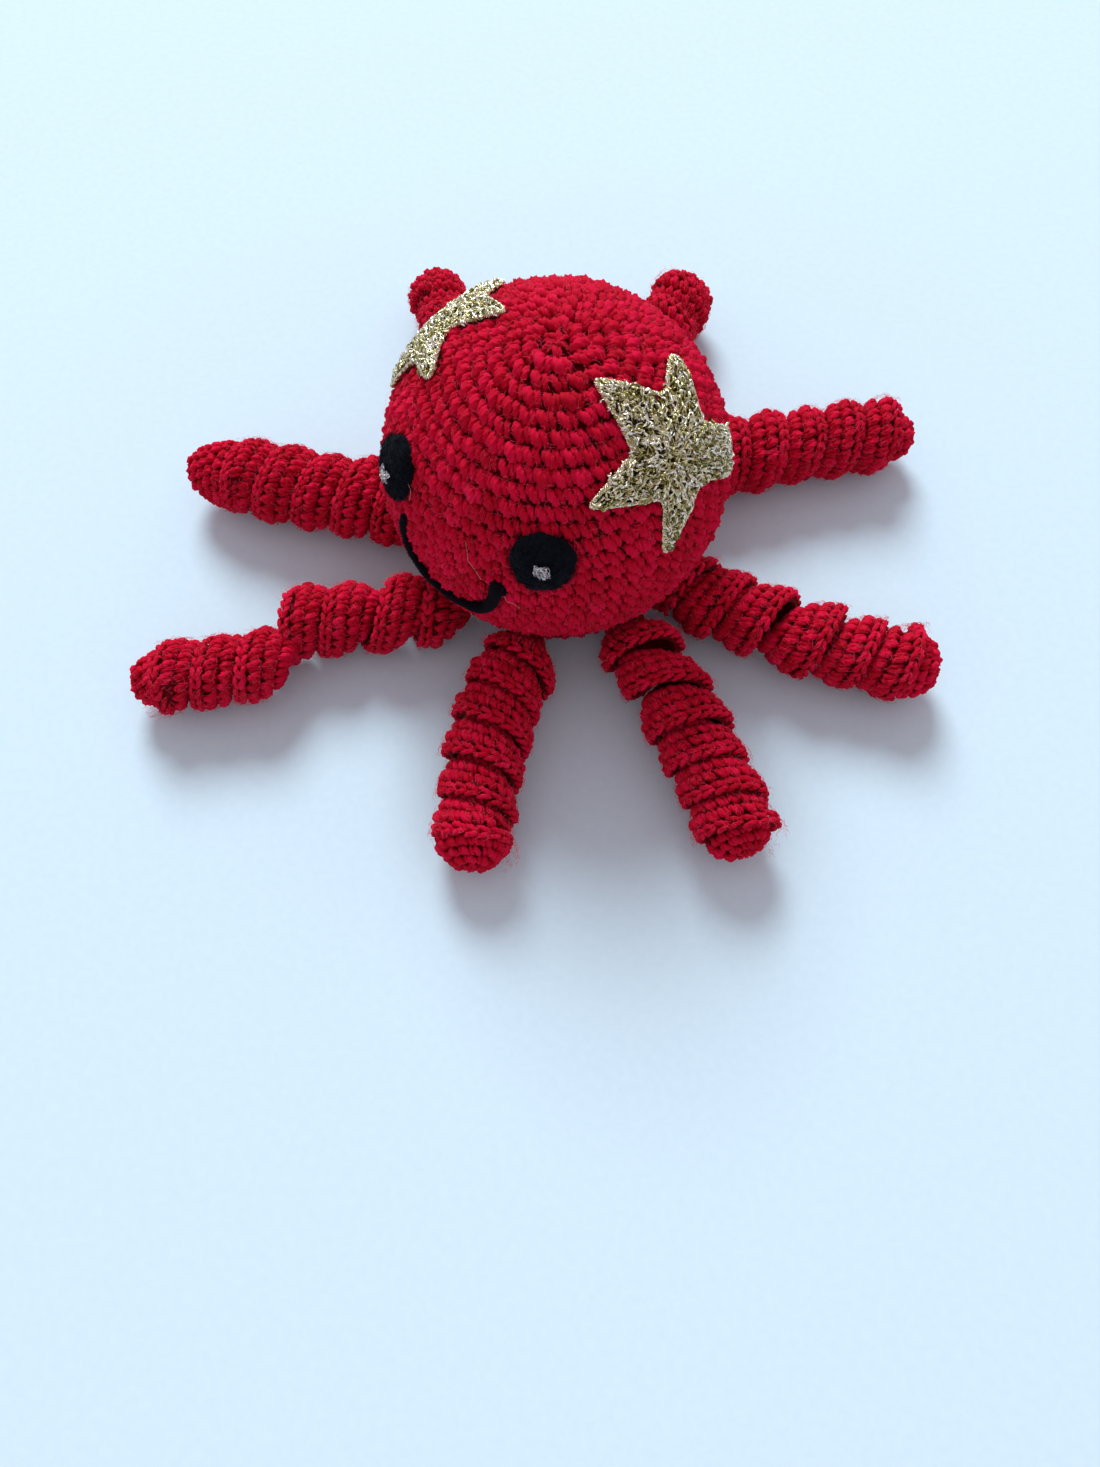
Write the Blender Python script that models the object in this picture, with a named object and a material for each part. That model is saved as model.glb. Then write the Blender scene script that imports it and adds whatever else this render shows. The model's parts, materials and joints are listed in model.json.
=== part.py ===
"""A crocheted octopus toy: a stuffed round head on a flat base, and eight curly crocheted arms.

Run with: blender --background --python part.py
Metres, +Z up. The origin is the centre of the flat base, on the surface that the toy stands on.
The face looks along -Y, and +X is on the right of someone who looks at the face.
"""

import math
from typing import NamedTuple

import bmesh
import bpy
from mathutils import Vector

# ---------------------------------------------------------------- driving dimensions

HEAD_RADIUS = 0.041
HEAD_CENTRE = Vector((0.0, 0.0, 0.040))
FABRIC = 0.003          # thickness of the crocheted fabric
GAP = 0.0003            # clearance between pieces that touch
BASE_RADIUS = 0.0235
AROUND_HEAD = 32        # facets round the head
HEAD_RINGS = 16         # facets from the crown to the lowest point

ARM_RADIUS = 0.0100     # over the bulge of a turn
NECK_RADIUS = 0.0080    # where one part of an arm meets the next
PITCH = 0.0100          # length of one turn along the arm
GROOVE = 0.0019         # depth of the groove between two turns
GROOVE_FADE = 0.003     # length over which the groove fades out at a coil's ends
ARM_REACH = 0.038       # from the middle of the toy to the first joint of an arm
ROOT_LENGTH = 0.0135    # from that joint back to the base
ROOT_RADIUS = 0.0030    # where the arm is sewn to the base
ROOT_STRAIGHT = 0.004   # the outer end of the root, which is as wide as the neck
TURN_LENGTH = 0.0100    # the first turn, between an arm's two joints
TAPER_START = 0.70      # share of the arm's length where it starts to narrow
TIP_RADIUS = 0.0070     # just before the rounded tip
SWAY_SLOPE = math.tan(math.radians(17.0))   # how far a coil's inner end falls back, to swing 15 degrees
AROUND_ARM = 12
RING_STEP = PITCH / 6
KINK_PLACE = 0.037      # distance along an arm of its sideways kink
KINK_LENGTH = 0.010

EYE_RADIUS = 0.0071
EYE_THICKNESS = 0.0024
EYE_AZIMUTHS = (-123.0, -57.0)
EYE_ELEVATION = 23.0
GLINT_RADIUS = 0.0018
GLINT_THICKNESS = 0.0010
GLINT_PLACES = ((-129.5, 18.0), (-57.0, 19.5))

SMILE_RADIUS = 0.0011
SMILE_ROUTE = (
    (-110.0, 14.0), (-109.5, 5.0), (-104.0, -3.0), (-94.0, -7.5),
    (-84.0, -7.0), (-75.5, -3.0), (-72.0, 5.0), (-71.0, 12.0),
)

STAR_RADIUS = 0.0215
STAR_NOTCH = 0.0115
STAR_THICKNESS = 0.0020
STAR_PLACES = ((-178.0, 42.0), (-2.0, 42.0))
STAR_TURNS = (-10.0, -13.0)
STAR_POINTS = 5
STAR_STEPS = 4          # facets from a star's middle to its edge


class Arm(NamedTuple):
    """One arm: where it leaves the head, where it points, and how it curves, seen from above."""

    azimuth: float      # degrees, of its first joint round the head
    heading: float      # degrees, of its direction at that joint
    bend: float         # degrees that it curves to the left over its length
    length: float       # from the first joint to the tip
    kink: float = 0.0   # how far its outer half is pushed to the left


ARMS = (
    Arm(10.5, 5.6, 24.0, 0.064),
    Arm(67.5, 53.5, -8.0, 0.067),
    Arm(104.5, 101.5, 0.0, 0.056),
    Arm(151.5, 148.5, 2.0, 0.058),
    Arm(206.5, 208.5, -8.0, 0.063),
    Arm(254.5, 224.5, 0.0, 0.077, 0.012),
    Arm(294.5, 282.5, 28.0, 0.056),
    Arm(338.5, 339.3, -16.0, 0.061),
)


# ---------------------------------------------------------------- helpers

def linear(hex_colour):
    """A colour written as sRGB hex, as the linear values that a shader takes."""
    channels = (int(hex_colour[i:i + 2], 16) / 255 for i in (1, 3, 5))
    return tuple(c / 12.92 if c <= 0.04045 else ((c + 0.055) / 1.055) ** 2.4 for c in channels) + (1.0,)


def material(name, hex_colour, roughness, metallic=0.0):
    made = bpy.data.materials.new(name)
    made.use_nodes = True
    shader = made.node_tree.nodes["Principled BSDF"]
    shader.inputs["Base Color"].default_value = linear(hex_colour)
    shader.inputs["Roughness"].default_value = roughness
    shader.inputs["Metallic"].default_value = metallic
    return made


def direction(azimuth, elevation):
    """The unit vector at an azimuth and an elevation in degrees."""
    a = math.radians(azimuth)
    e = math.radians(elevation)
    return Vector((math.cos(a) * math.cos(e), math.sin(a) * math.cos(e), math.sin(e)))


def finish(name, bm, origin, skin, parent=None):
    """Turns a mesh built in world space into a named object, with its origin at the given point."""
    bmesh.ops.recalc_face_normals(bm, faces=bm.faces)
    bmesh.ops.translate(bm, verts=bm.verts, vec=-origin)
    mesh = bpy.data.meshes.new(name)
    bm.to_mesh(mesh)
    bm.free()
    mesh.shade_smooth()
    mesh.set_sharp_from_angle(angle=math.radians(50.0))
    mesh.materials.append(skin)
    made = bpy.data.objects.new(name, mesh)
    bpy.context.scene.collection.objects.link(made)
    made.location = origin
    if parent:
        made.parent = parent
        made.location = origin - parent.location
    return made


def loft(rings):
    """A closed body through rings of points; a ring of one point is an apex."""
    bm = bmesh.new()
    made = [[bm.verts.new(p) for p in ring] for ring in rings]
    for one, two in zip(made, made[1:]):
        count = max(len(one), len(two))
        for i in range(count):
            j = (i + 1) % count
            corners = [one[i % len(one)], one[j % len(one)], two[j % len(two)], two[i % len(two)]]
            bm.faces.new(list(dict.fromkeys(corners)))
    for ring in (made[0], made[-1]):
        if len(ring) > 1:
            bm.faces.new(ring)
    return bm


def circle(radius, height, count):
    """A level ring of points round the Z axis, or one point where the radius is nothing."""
    if radius < 1e-6:
        return [Vector((0.0, 0.0, height))]
    turns = (math.tau * i / count for i in range(count))
    return [Vector((radius * math.cos(t), radius * math.sin(t), height)) for t in turns]


def on_head(toward, away, bearing, height):
    """A point over the head: a direction, an arc length away from it at a bearing, and a height."""
    up = Vector((0.0, 0.0, 1.0))
    north = (up - toward * up.dot(toward)).normalized()
    east = north.cross(toward)
    angle = away / HEAD_RADIUS
    side = north * math.cos(bearing) + east * math.sin(bearing)
    return HEAD_CENTRE + (toward * math.cos(angle) + side * math.sin(angle)) * (HEAD_RADIUS + height)


# ---------------------------------------------------------------- head

def ball_ring(radius, step):
    """One level ring of a ball round the head's centre; the steps run from its crown down."""
    angle = math.pi * step / HEAD_RINGS
    return circle(radius * math.sin(angle), HEAD_CENTRE.z + radius * math.cos(angle), AROUND_HEAD)


def flat_ring(radius, height):
    """The ring where a ball round the head's centre is cut off level."""
    return circle(math.sqrt(radius ** 2 - (HEAD_CENTRE.z - height) ** 2), height, AROUND_HEAD)


def head_cover(skin):
    """The crocheted shell, open at the bottom where the base closes it."""
    rim = FABRIC + GAP
    inner = HEAD_RADIUS - FABRIC
    outside = [ball_ring(HEAD_RADIUS, step) for step in range(HEAD_RINGS - 2)]
    inside = [ball_ring(inner, step) for step in range(HEAD_RINGS - 2)]
    rings = outside + [flat_ring(HEAD_RADIUS, rim), flat_ring(inner, rim)] + inside[::-1]
    return finish("head_cover", loft(rings), HEAD_CENTRE, skin)


def head_stuffing(skin):
    """The ball of fibre fill, pressed flat on the base."""
    radius = HEAD_RADIUS - FABRIC - GAP
    rings = [ball_ring(radius, step) for step in range(HEAD_RINGS - 2)]
    rings += [flat_ring(radius, FABRIC + 2 * GAP)]
    return finish("head_stuffing", loft(rings), HEAD_CENTRE, skin)


def base_disc(skin):
    """The flat crocheted round that closes the head and carries the arms."""
    edge = FABRIC / 3
    rings = [
        circle(BASE_RADIUS - edge, 0.0, AROUND_HEAD),
        circle(BASE_RADIUS, edge, AROUND_HEAD),
        circle(BASE_RADIUS, FABRIC - edge, AROUND_HEAD),
        circle(BASE_RADIUS - edge, FABRIC, AROUND_HEAD),
    ]
    return finish("base_disc", loft(rings), Vector((0.0, 0.0, 0.0)), skin)


# ---------------------------------------------------------------- face and stars

def pad(toward, outline, thickness, lift, around, steps):
    """A pad that follows the head: outline(bearing) is its radius, and it is thickest in the middle."""
    under = []
    over = []
    for step in range(steps + 1):
        share = step / steps
        high = lift + thickness * math.sqrt(max(0.0, 1.0 - share ** 4) * 0.75 + 0.25)
        bearings = [math.tau * i / around for i in range(around)] if step else [0.0]
        under.append([on_head(toward, share * outline(b), b, lift) for b in bearings])
        over.append([on_head(toward, share * outline(b), b, high) for b in bearings])
    return loft(under + over[::-1])


def eye(side, place, skin):
    """One felted wool disc."""
    bm = pad(direction(*place), lambda b: EYE_RADIUS, EYE_THICKNESS, GAP, 20, 4)
    return finish(f"eye_{side}", bm, HEAD_CENTRE + direction(*place) * HEAD_RADIUS, skin)


def glint(side, place, skin):
    """The small knot of silver thread on an eye."""
    lift = EYE_THICKNESS + 2 * GAP
    bm = pad(direction(*place), lambda b: GLINT_RADIUS, GLINT_THICKNESS, lift, 10, 2)
    return finish(f"eye_glint_{side}", bm, HEAD_CENTRE + direction(*place) * HEAD_RADIUS, skin)


def star_outline(bearing):
    """The radius of the star at a bearing from one of its points, with straight sides to the notches."""
    sector = math.pi / STAR_POINTS
    off = abs((bearing + sector) % (2 * sector) - sector)
    across = STAR_RADIUS * STAR_NOTCH * math.sin(sector)
    return across / (STAR_NOTCH * math.sin(sector - off) + STAR_RADIUS * math.sin(off))


def star(side, place, turn, skin):
    """One crocheted star, whose grid of bearings starts at a point of the star."""
    around = STAR_POINTS * 6
    toward = direction(*place)
    under = []
    over = []
    for step in range(STAR_STEPS + 1):
        share = step / STAR_STEPS
        bearings = [math.tau * i / around for i in range(around)] if step else [0.0]
        for rings, height in ((under, GAP), (over, GAP + STAR_THICKNESS)):
            rings.append([
                on_head(toward, share * star_outline(b), b + math.radians(turn), height) for b in bearings
            ])
    return finish(f"star_{side}", loft(under + over[::-1]), HEAD_CENTRE + toward * HEAD_RADIUS, skin)


def smooth_route(points, per_span):
    """Points of a Catmull-Rom curve through the given ones."""
    ends = [points[0] * 2 - points[1]] + list(points) + [points[-1] * 2 - points[-2]]
    route = []
    for a, b, c, d in zip(ends, ends[1:], ends[2:], ends[3:]):
        for i in range(per_span):
            t = i / per_span
            route.append(
                (b * 2 + (c - a) * t + (a * 2 - b * 5 + c * 4 - d) * t ** 2
                 + (b * 3 - a - c * 3 + d) * t ** 3) / 2
            )
    return route + [points[-1]]


def smile(skin):
    """The line of black yarn sewn on the face."""
    over = HEAD_RADIUS + GAP + SMILE_RADIUS
    points = [HEAD_CENTRE + direction(*place) * over for place in SMILE_ROUTE]
    route = smooth_route(points, 3)
    route = [HEAD_CENTRE + (p - HEAD_CENTRE).normalized() * over for p in route]
    rings = []
    for i, place in enumerate(route):
        along = (route[min(i + 1, len(route) - 1)] - route[max(i - 1, 0)]).normalized()
        out = (place - HEAD_CENTRE).normalized()
        side = along.cross(out)
        angles = (math.tau * k / 8 for k in range(8))
        rings.append([place + (out * math.cos(t) + side * math.sin(t)) * SMILE_RADIUS for t in angles])
    return finish("smile_yarn", loft(rings), route[len(route) // 2], skin)


# ---------------------------------------------------------------- arms

def smoothstep(value):
    value = min(1.0, max(0.0, value))
    return value * value * (3 - 2 * value)


def centre_line(arm, along):
    """The middle of an arm and its heading, at a distance from its first joint; it is level."""
    start = direction(arm.azimuth, 0.0) * ARM_REACH
    heading = math.radians(arm.heading)
    rate = math.radians(arm.bend) / arm.length
    if along > 0 and rate:
        here = heading + rate * along
        ahead = Vector((math.sin(here) - math.sin(heading), math.cos(heading) - math.cos(here), 0.0)) / rate
    else:
        here = heading
        ahead = Vector((math.cos(heading), math.sin(heading), 0.0)) * along
    left = Vector((-math.sin(here), math.cos(here), 0.0))
    push = arm.kink * smoothstep((along - KINK_PLACE) / KINK_LENGTH + 0.5)
    return start + ahead + left * push, here


def arm_radius(arm, along):
    """The radius over the turns: narrow at the root, full past the head, and narrow at the tip."""
    if along < 0:
        share = min(1.0, (along + ROOT_LENGTH) / (ROOT_LENGTH - ROOT_STRAIGHT))
        return ROOT_RADIUS + (NECK_RADIUS - ROOT_RADIUS) * share
    full = NECK_RADIUS + (ARM_RADIUS - NECK_RADIUS) * smoothstep(along / (0.5 * PITCH))
    taper = max(0.0, along / arm.length - TAPER_START) / (1.0 - TAPER_START)
    return full + (TIP_RADIUS - ARM_RADIUS) * taper


def arm_height(arm, along):
    """The height of an arm's middle: it lies on its turns, and slopes down to the base at its root."""
    if along < 0:
        return GAP + max(arm_radius(arm, along), ARM_RADIUS * (1 + along / ROOT_LENGTH))
    if along < PITCH:
        return GAP + ARM_RADIUS
    return GAP + arm_radius(arm, along)


def arm_ring(arm, along, grooved=1.0, radius=None):
    """One ring of an arm, with a left-handed groove that winds round it."""
    middle, here = centre_line(arm, along)
    base = arm_radius(arm, along) if radius is None else radius
    height = arm_height(arm, along)
    side = Vector((-math.sin(here), math.cos(here), 0.0))
    up = Vector((0.0, 0.0, 1.0))
    points = []
    for i in range(AROUND_ARM):
        turn = math.tau * i / AROUND_ARM
        wave = 0.5 - 0.5 * math.cos(math.tau * along / PITCH + turn)
        r = base - GROOVE * grooved * wave
        points.append(middle + up * height + (side * math.cos(turn) + up * math.sin(turn)) * r)
    return points


def grooved_rings(arm, start, end):
    """The rings of a coil between two distances. The groove fades out at both."""
    count = math.ceil((end - start) / RING_STEP)
    rings = []
    for i in range(count + 1):
        along = start + (end - start) * i / count
        edge = min(along - start, end - along) / GROOVE_FADE
        rings.append(arm_ring(arm, along, grooved=smoothstep(edge)))
    return rings


def arm_root(name, arm, skin):
    """The end that is sewn to the base, hidden under the head."""
    steps = 5
    rings = [arm_ring(arm, ROOT_LENGTH * (i / steps - 1), grooved=0.0) for i in range(steps + 1)]
    return finish(f"{name}_root", loft(rings), centre_line(arm, -ROOT_LENGTH)[0], skin)


def lift_pivot(arm):
    """A level axis across the top of the neck, where the arm leaves the head."""
    middle, here = centre_line(arm, GAP / 2)
    return middle + Vector((0.0, 0.0, ARM_RADIUS + NECK_RADIUS + 2 * GAP)), here


def sway_pivot(arm):
    """An upright axis where the coil meets the first turn."""
    return centre_line(arm, TURN_LENGTH + GAP)[0] + Vector((0.0, 0.0, ARM_RADIUS + GAP))


def arm_turn(name, arm, skin):
    """The first turn of the arm, which lifts. It bulges between its two necks."""
    steps = 6
    rings = []
    for i in range(steps + 1):
        along = GAP + (TURN_LENGTH - GAP) * i / steps
        bulge = math.sqrt(max(0.0, math.sin(math.pi * i / steps)))
        radius = NECK_RADIUS + (ARM_RADIUS - NECK_RADIUS) * bulge
        rings.append(arm_ring(arm, along, grooved=0.0, radius=radius))
    return finish(f"{name}_turn", loft(rings), lift_pivot(arm)[0], skin)


def arm_coil(name, arm, skin, parent):
    """The rest of the arm, out to its rounded tip. Its inner end falls back from the sway axis."""
    start = TURN_LENGTH + GAP
    inner = [[sway_pivot(arm)]]
    for share in (0.5, 1.0):
        radius = NECK_RADIUS * share
        inner.append(arm_ring(arm, start + radius * SWAY_SLOPE, grooved=0.0, radius=radius))
    body_start = start + NECK_RADIUS * SWAY_SLOPE + RING_STEP
    round_start = arm.length - TIP_RADIUS
    outer = []
    for angle in (30.0, 60.0):
        along = round_start + TIP_RADIUS * math.sin(math.radians(angle))
        radius = arm_radius(arm, round_start) * math.cos(math.radians(angle))
        outer.append(arm_ring(arm, along, grooved=0.0, radius=radius))
    outer.append([centre_line(arm, arm.length)[0] + Vector((0.0, 0.0, arm_height(arm, arm.length)))])
    rings = inner + grooved_rings(arm, body_start, round_start) + outer
    return finish(f"{name}_coil", loft(rings), sway_pivot(arm), skin, parent)


# ---------------------------------------------------------------- the toy

def build():
    for old in list(bpy.data.objects):
        bpy.data.objects.remove(old, do_unlink=True)

    red = material("red_wool_yarn", "#B80A2C", 0.9)
    white = material("white_fibre_fill", "#ECE8DF", 1.0)
    black = material("black_felted_wool", "#0D1117", 0.95)
    black_yarn = material("black_yarn", "#14131A", 0.9)
    silver = material("silver_thread", "#D9DADC", 0.25, 1.0)
    gold = material("gold_metallic_yarn", "#B9AE72", 0.35, 0.9)

    head_cover(red)
    head_stuffing(white)
    base_disc(red)
    sides = ("left", "right")
    for side, azimuth, place in zip(sides, EYE_AZIMUTHS, GLINT_PLACES):
        eye(side, (azimuth, EYE_ELEVATION), black)
        glint(side, place, silver)
    smile(black_yarn)
    for side, place, turn in zip(sides, STAR_PLACES, STAR_TURNS):
        star(side, place, turn, gold)
    for number, arm in enumerate(ARMS, start=1):
        name = f"arm_{number}"
        arm_root(name, arm, red)
        turn = arm_turn(name, arm, red)
        arm_coil(name, arm, red, turn)
        lift, heading = lift_pivot(arm)
        sway = sway_pivot(arm)
        print(f"{name} lift {list(lift)} {math.degrees(heading)} sway {list(sway)}")


build()
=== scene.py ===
# %% [markdown]
# # A crocheted octopus toy
#
# The toy is a stuffed ball of single crochet with eight curly crocheted arms, two felt eyes, a yarn smile and two
# gold stars. So the lesson is about yarn: one fast function sweeps thousands of short strands at once, and each cell
# only says where they go. The imported part gives the sizes and the joints, and the head's pieces ride on one body.

# %% Load the frame
import json
import math

import bpy
import numpy as np
from mathutils import Matrix, Vector


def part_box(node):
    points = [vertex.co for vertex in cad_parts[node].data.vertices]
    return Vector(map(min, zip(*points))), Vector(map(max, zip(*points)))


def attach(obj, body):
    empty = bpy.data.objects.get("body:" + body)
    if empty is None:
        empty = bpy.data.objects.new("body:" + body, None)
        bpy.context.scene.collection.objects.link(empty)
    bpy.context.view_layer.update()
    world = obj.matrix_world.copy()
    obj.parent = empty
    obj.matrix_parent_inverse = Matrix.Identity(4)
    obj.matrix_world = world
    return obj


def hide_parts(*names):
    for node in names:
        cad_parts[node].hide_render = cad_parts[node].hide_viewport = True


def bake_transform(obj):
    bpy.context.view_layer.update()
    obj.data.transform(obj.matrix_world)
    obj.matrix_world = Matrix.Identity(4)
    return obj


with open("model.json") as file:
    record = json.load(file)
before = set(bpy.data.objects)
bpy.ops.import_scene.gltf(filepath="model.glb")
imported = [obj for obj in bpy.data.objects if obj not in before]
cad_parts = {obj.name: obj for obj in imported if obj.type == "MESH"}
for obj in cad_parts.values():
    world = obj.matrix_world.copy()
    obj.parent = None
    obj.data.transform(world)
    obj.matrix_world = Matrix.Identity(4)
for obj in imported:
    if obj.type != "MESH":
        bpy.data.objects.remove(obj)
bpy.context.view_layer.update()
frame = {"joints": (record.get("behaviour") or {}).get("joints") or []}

MM = 0.001
TAU = math.tau
rng = np.random.default_rng(8)

# %% [markdown]
# ## Measures from the frame
#
# The head is a ball that stands on the base, so its radius and centre follow from the cover's box. The arms' joints
# come from the record: the lift axis says which way an arm leaves the head.

# %% Measures
cover_low, cover_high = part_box("head_cover")
HEAD_RADIUS = (cover_high.x - cover_low.x) / 2
HEAD_CENTRE = np.array([0.0, 0.0, cover_high.z - HEAD_RADIUS])
BASE_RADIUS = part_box("base_disc")[1].x
JOINTS = {joint["name"]: joint for joint in frame["joints"]}
UP = np.array([0.0, 0.0, 1.0])
print("head radius", round(HEAD_RADIUS, 4), "base radius", round(BASE_RADIUS, 4))


def smoothstep(value):
    value = np.clip(value, 0.0, 1.0)
    return value * value * (3 - 2 * value)


def unit(vectors):
    """Vectors of length one, along the last axis."""
    return vectors / np.maximum(np.linalg.norm(vectors, axis=-1, keepdims=True), 1e-12)


def direction(azimuth, elevation):
    """The unit vector at an azimuth and an elevation in degrees."""
    a = np.radians(azimuth)
    e = np.radians(elevation)
    return np.stack([np.cos(a) * np.cos(e), np.sin(a) * np.cos(e), np.sin(e) + 0.0 * a], axis=-1)


# %% [markdown]
# ## Colours and shader nodes
#
# Colours are written the way a painter picks them, as sRGB hex, and a shader wants linear light, so one function
# turns one into the other. Another adds a node with its settings and its links, and a third dresses the shader.

# %% Colours and nodes
def linear(hex_colour):
    """A colour written as sRGB hex, as the linear values that a shader takes."""
    channels = (int(hex_colour[i:i + 2], 16) / 255 for i in (1, 3, 5))
    return tuple(c / 12.92 if c <= 0.04045 else ((c + 0.055) / 1.055) ** 2.4 for c in channels) + (1.0,)


def add(tree, kind, settings=None, **inputs):
    """Adds a node with its settings and links, and gives one output, the first unless told otherwise.

    An input is a value or another node's output. In its name _ stands for a space, and i0, i1 or i2 for a number.
    The setting "stops" is a colour ramp's list of (place, hex colour), and "output" names the output to give.
    """
    node = tree.nodes.new("ShaderNode" + kind)
    settings = dict(settings or {})
    for number, (place, hex_colour) in enumerate(settings.pop("stops", ())):
        points = node.color_ramp.elements
        point = points[number] if number < len(points) else points.new(1.0)
        point.position = place
        point.color = linear(hex_colour)
    wanted = settings.pop("output", 0)
    for key, value in settings.items():
        setattr(node, key, value)
    for key, value in inputs.items():
        socket = node.inputs[int(key[1:]) if key in ("i0", "i1", "i2") else key.replace("_", " ")]
        if isinstance(value, bpy.types.NodeSocket):
            tree.links.new(value, socket)
        else:
            socket.default_value = value
    return node.outputs[wanted]


def new_material(name):
    made = bpy.data.materials.new(name)
    made.use_nodes = True
    return made, made.node_tree


def dress(tree, colour, bump, **values):
    """Gives a material's shader its colour, its bump and its constant values."""
    shader = tree.nodes["Principled BSDF"]
    tree.links.new(colour, shader.inputs["Base Color"])
    tree.links.new(bump, shader.inputs["Normal"])
    for key, value in values.items():
        shader.inputs[key.replace("_", " ")].default_value = value


PLIES = 4                # the yarn is spun from four threads
MATT_SPECULAR = 0.15     # wool and card mirror almost nothing


def yarn_material(name, stops, roughness, sheen, sheen_tint, fibre_relief):
    """Spun yarn. Each strand carries its own tone, and its map runs along the strand and round it.

    Wool fibres are 0.02 mm thick, too fine to show, so the streaks are drawn about 0.4 mm wide and 1.4 mm long.
    """
    made, tree = new_material(name)
    multiply_add = {"operation": "MULTIPLY_ADD"}
    strand = add(tree, "UVMap", {"uv_map": "strand"})
    tone = add(tree, "Attribute", {"attribute_name": "tone", "output": "Fac"})
    stretched = add(tree, "Mapping", Vector=strand, Scale=(4.0, 16.0, 1.0))
    streaks = add(tree, "TexNoise", Vector=stretched, Scale=1.0, Detail=3.0, Roughness=0.6)
    place = add(tree, "TexCoord", {"output": "Object"})
    patches = add(tree, "TexNoise", Vector=place, Scale=420.0, Detail=2.0)
    mixed = add(tree, "Math", multiply_add, i0=streaks, i1=0.75, i2=tone)
    mixed = add(tree, "Math", multiply_add, i0=patches, i1=0.35, i2=mixed)
    round_strand = add(tree, "SeparateXYZ", {"output": "Y"}, Vector=strand)
    turned_ply = add(tree, "Math", {"operation": "MULTIPLY"}, i0=round_strand, i1=PLIES * math.tau)
    ply = add(tree, "Math", {"operation": "COSINE"}, i0=turned_ply)
    # the plies' grooves come out darker and their crests lighter in the colour: painted shade and highlight; the same
    # term drives the bump below
    mixed = add(tree, "Math", multiply_add, i0=ply, i1=0.09, i2=mixed)
    mixed = add(tree, "Math", {"operation": "SUBTRACT"}, i0=mixed, i1=0.55)
    colour = add(tree, "ValToRGB", {"stops": stops}, Fac=mixed)
    height = add(tree, "Math", multiply_add, i0=ply, i1=0.25, i2=streaks)
    bump = add(tree, "Bump", Height=height, Strength=fibre_relief, Distance=0.0002)
    dress(tree, colour, bump, Roughness=roughness, Specular_IOR_Level=MATT_SPECULAR, Sheen_Weight=sheen,
          Sheen_Roughness=0.45, Sheen_Tint=linear(sheen_tint))
    return made


# %% [markdown]
# ## The materials
#
# * Red wool, spun from four plies: soft, matt, with a pale sheen from the loose fibres on its surface.
# * Black wool for the smile and felted black wool for the eyes: so dark that only the sheen shows their shape.
# * Gold metallic yarn: flat foil on a thin core. Each strand mirrors something else, so it glitters.
# * Silver foil thread for the glint in each eye.

# %% Materials
RED_STOPS = ((0.0, "#980014"), (0.4, "#C8002A"), (0.75, "#E40A44"), (1.0, "#FC4C7C"))
RED_WOOL = yarn_material("spun_red_wool", RED_STOPS, 0.85, 0.28, "#FF2C68", 0.8)
# The inner wool is the same red yarn painted far darker: painted shade for the deep gaps between stitches.
SHADED_INNER_WOOL = yarn_material("inner_red_wool_painted_shade", ((0.0, "#4A0007"), (1.0, "#780010")), 0.95, 0.05, "#C02040", 0.4)
BLACK_WOOL = yarn_material("spun_black_wool", ((0.0, "#020207"), (1.0, "#0E0D18")), 0.9, 0.06, "#8088A0", 0.5)
FELT = yarn_material("felted_black_wool", ((0.0, "#010308"), (1.0, "#0A121C")), 0.95, 0.05, "#7890B0", 0.6)
FILL = yarn_material("polyester_fibre_fill", ((0.0, "#DAD6CC"), (1.0, "#F3F1EB")), 0.9, 0.4, "#FFFFFF", 0.5)
# The loose fibres are painted paler and pinker than the yarn they come from: painted highlight for the light they
# catch.
RED_FUZZ = yarn_material("loose_red_fibres", ((0.0, "#E01038"), (1.0, "#FF6480")), 0.7, 0.3, "#FF90A0", 0.0)
PALE_HAIR = yarn_material("loose_pale_fibres", ((0.0, "#D9A6A0"), (1.0, "#F4DAD0")), 0.5, 0.3, "#FFFFFF", 0.0)


def foil_material(name, stops, roughness):
    """Metal foil wound on a core. Its tone changes at random from strand to strand and with the creases: painted
    brighter and darker glints, beside the metal's real reflections.
    """
    made, tree = new_material(name)
    tone = add(tree, "Attribute", {"attribute_name": "tone", "output": "Fac"})
    place = add(tree, "TexCoord", {"output": "Object"})
    creases = add(tree, "TexNoise", Vector=place, Scale=2600.0, Detail=2.0)
    mixed = add(tree, "Math", {"operation": "MULTIPLY_ADD"}, i0=creases, i1=0.5, i2=tone)
    shifted = add(tree, "Math", {"operation": "SUBTRACT"}, i0=mixed, i1=0.25)
    colour = add(tree, "ValToRGB", {"stops": stops}, Fac=shifted)
    bump = add(tree, "Bump", Height=creases, Strength=0.7, Distance=0.0002)
    dress(tree, colour, bump, Roughness=roughness, Metallic=1.0)
    return made


GOLD_STOPS = ((0.0, "#8C864A"), (0.3, "#D8D296"), (0.6, "#F8F6D2"), (1.0, "#FFFFF4"))
GOLD_FOIL = foil_material("gold_foil_yarn", GOLD_STOPS, 0.26)
SILVER_FOIL = foil_material("silver_foil_thread", ((0.0, "#D8DCE2"), (1.0, "#FFFFFF")), 0.34)
# The pad's dark gold core colour, darkened further as painted shade for the gaps between foil loops.
GOLD_CORE_AND_SHADE = yarn_material("dark_gold_core_and_painted_shade", ((0.0, "#1C1806"), (1.0, "#3E3818")), 0.6, 0.1, "#C9C08A", 0.4)
print("materials:", len(bpy.data.materials))

# %% [markdown]
# ## Strands by the thousand
#
# A strand is a tube along a short path. A curve object for each would be slow, so numpy sweeps all of a piece's
# strands in one go. Every ring of a tube turns a little against the one before, and every other corner is a little
# lower, which makes the twisted plies of real yarn.

# %% The strand sweeper
AROUND = 2 * PLIES   # corners round a strand, two for each ply
PLY_RELIEF = 0.15    # how deep the groove between two plies is, as a share of the radius
PLY_TURN = 5.5 * MM  # length in which the plies go once round


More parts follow.
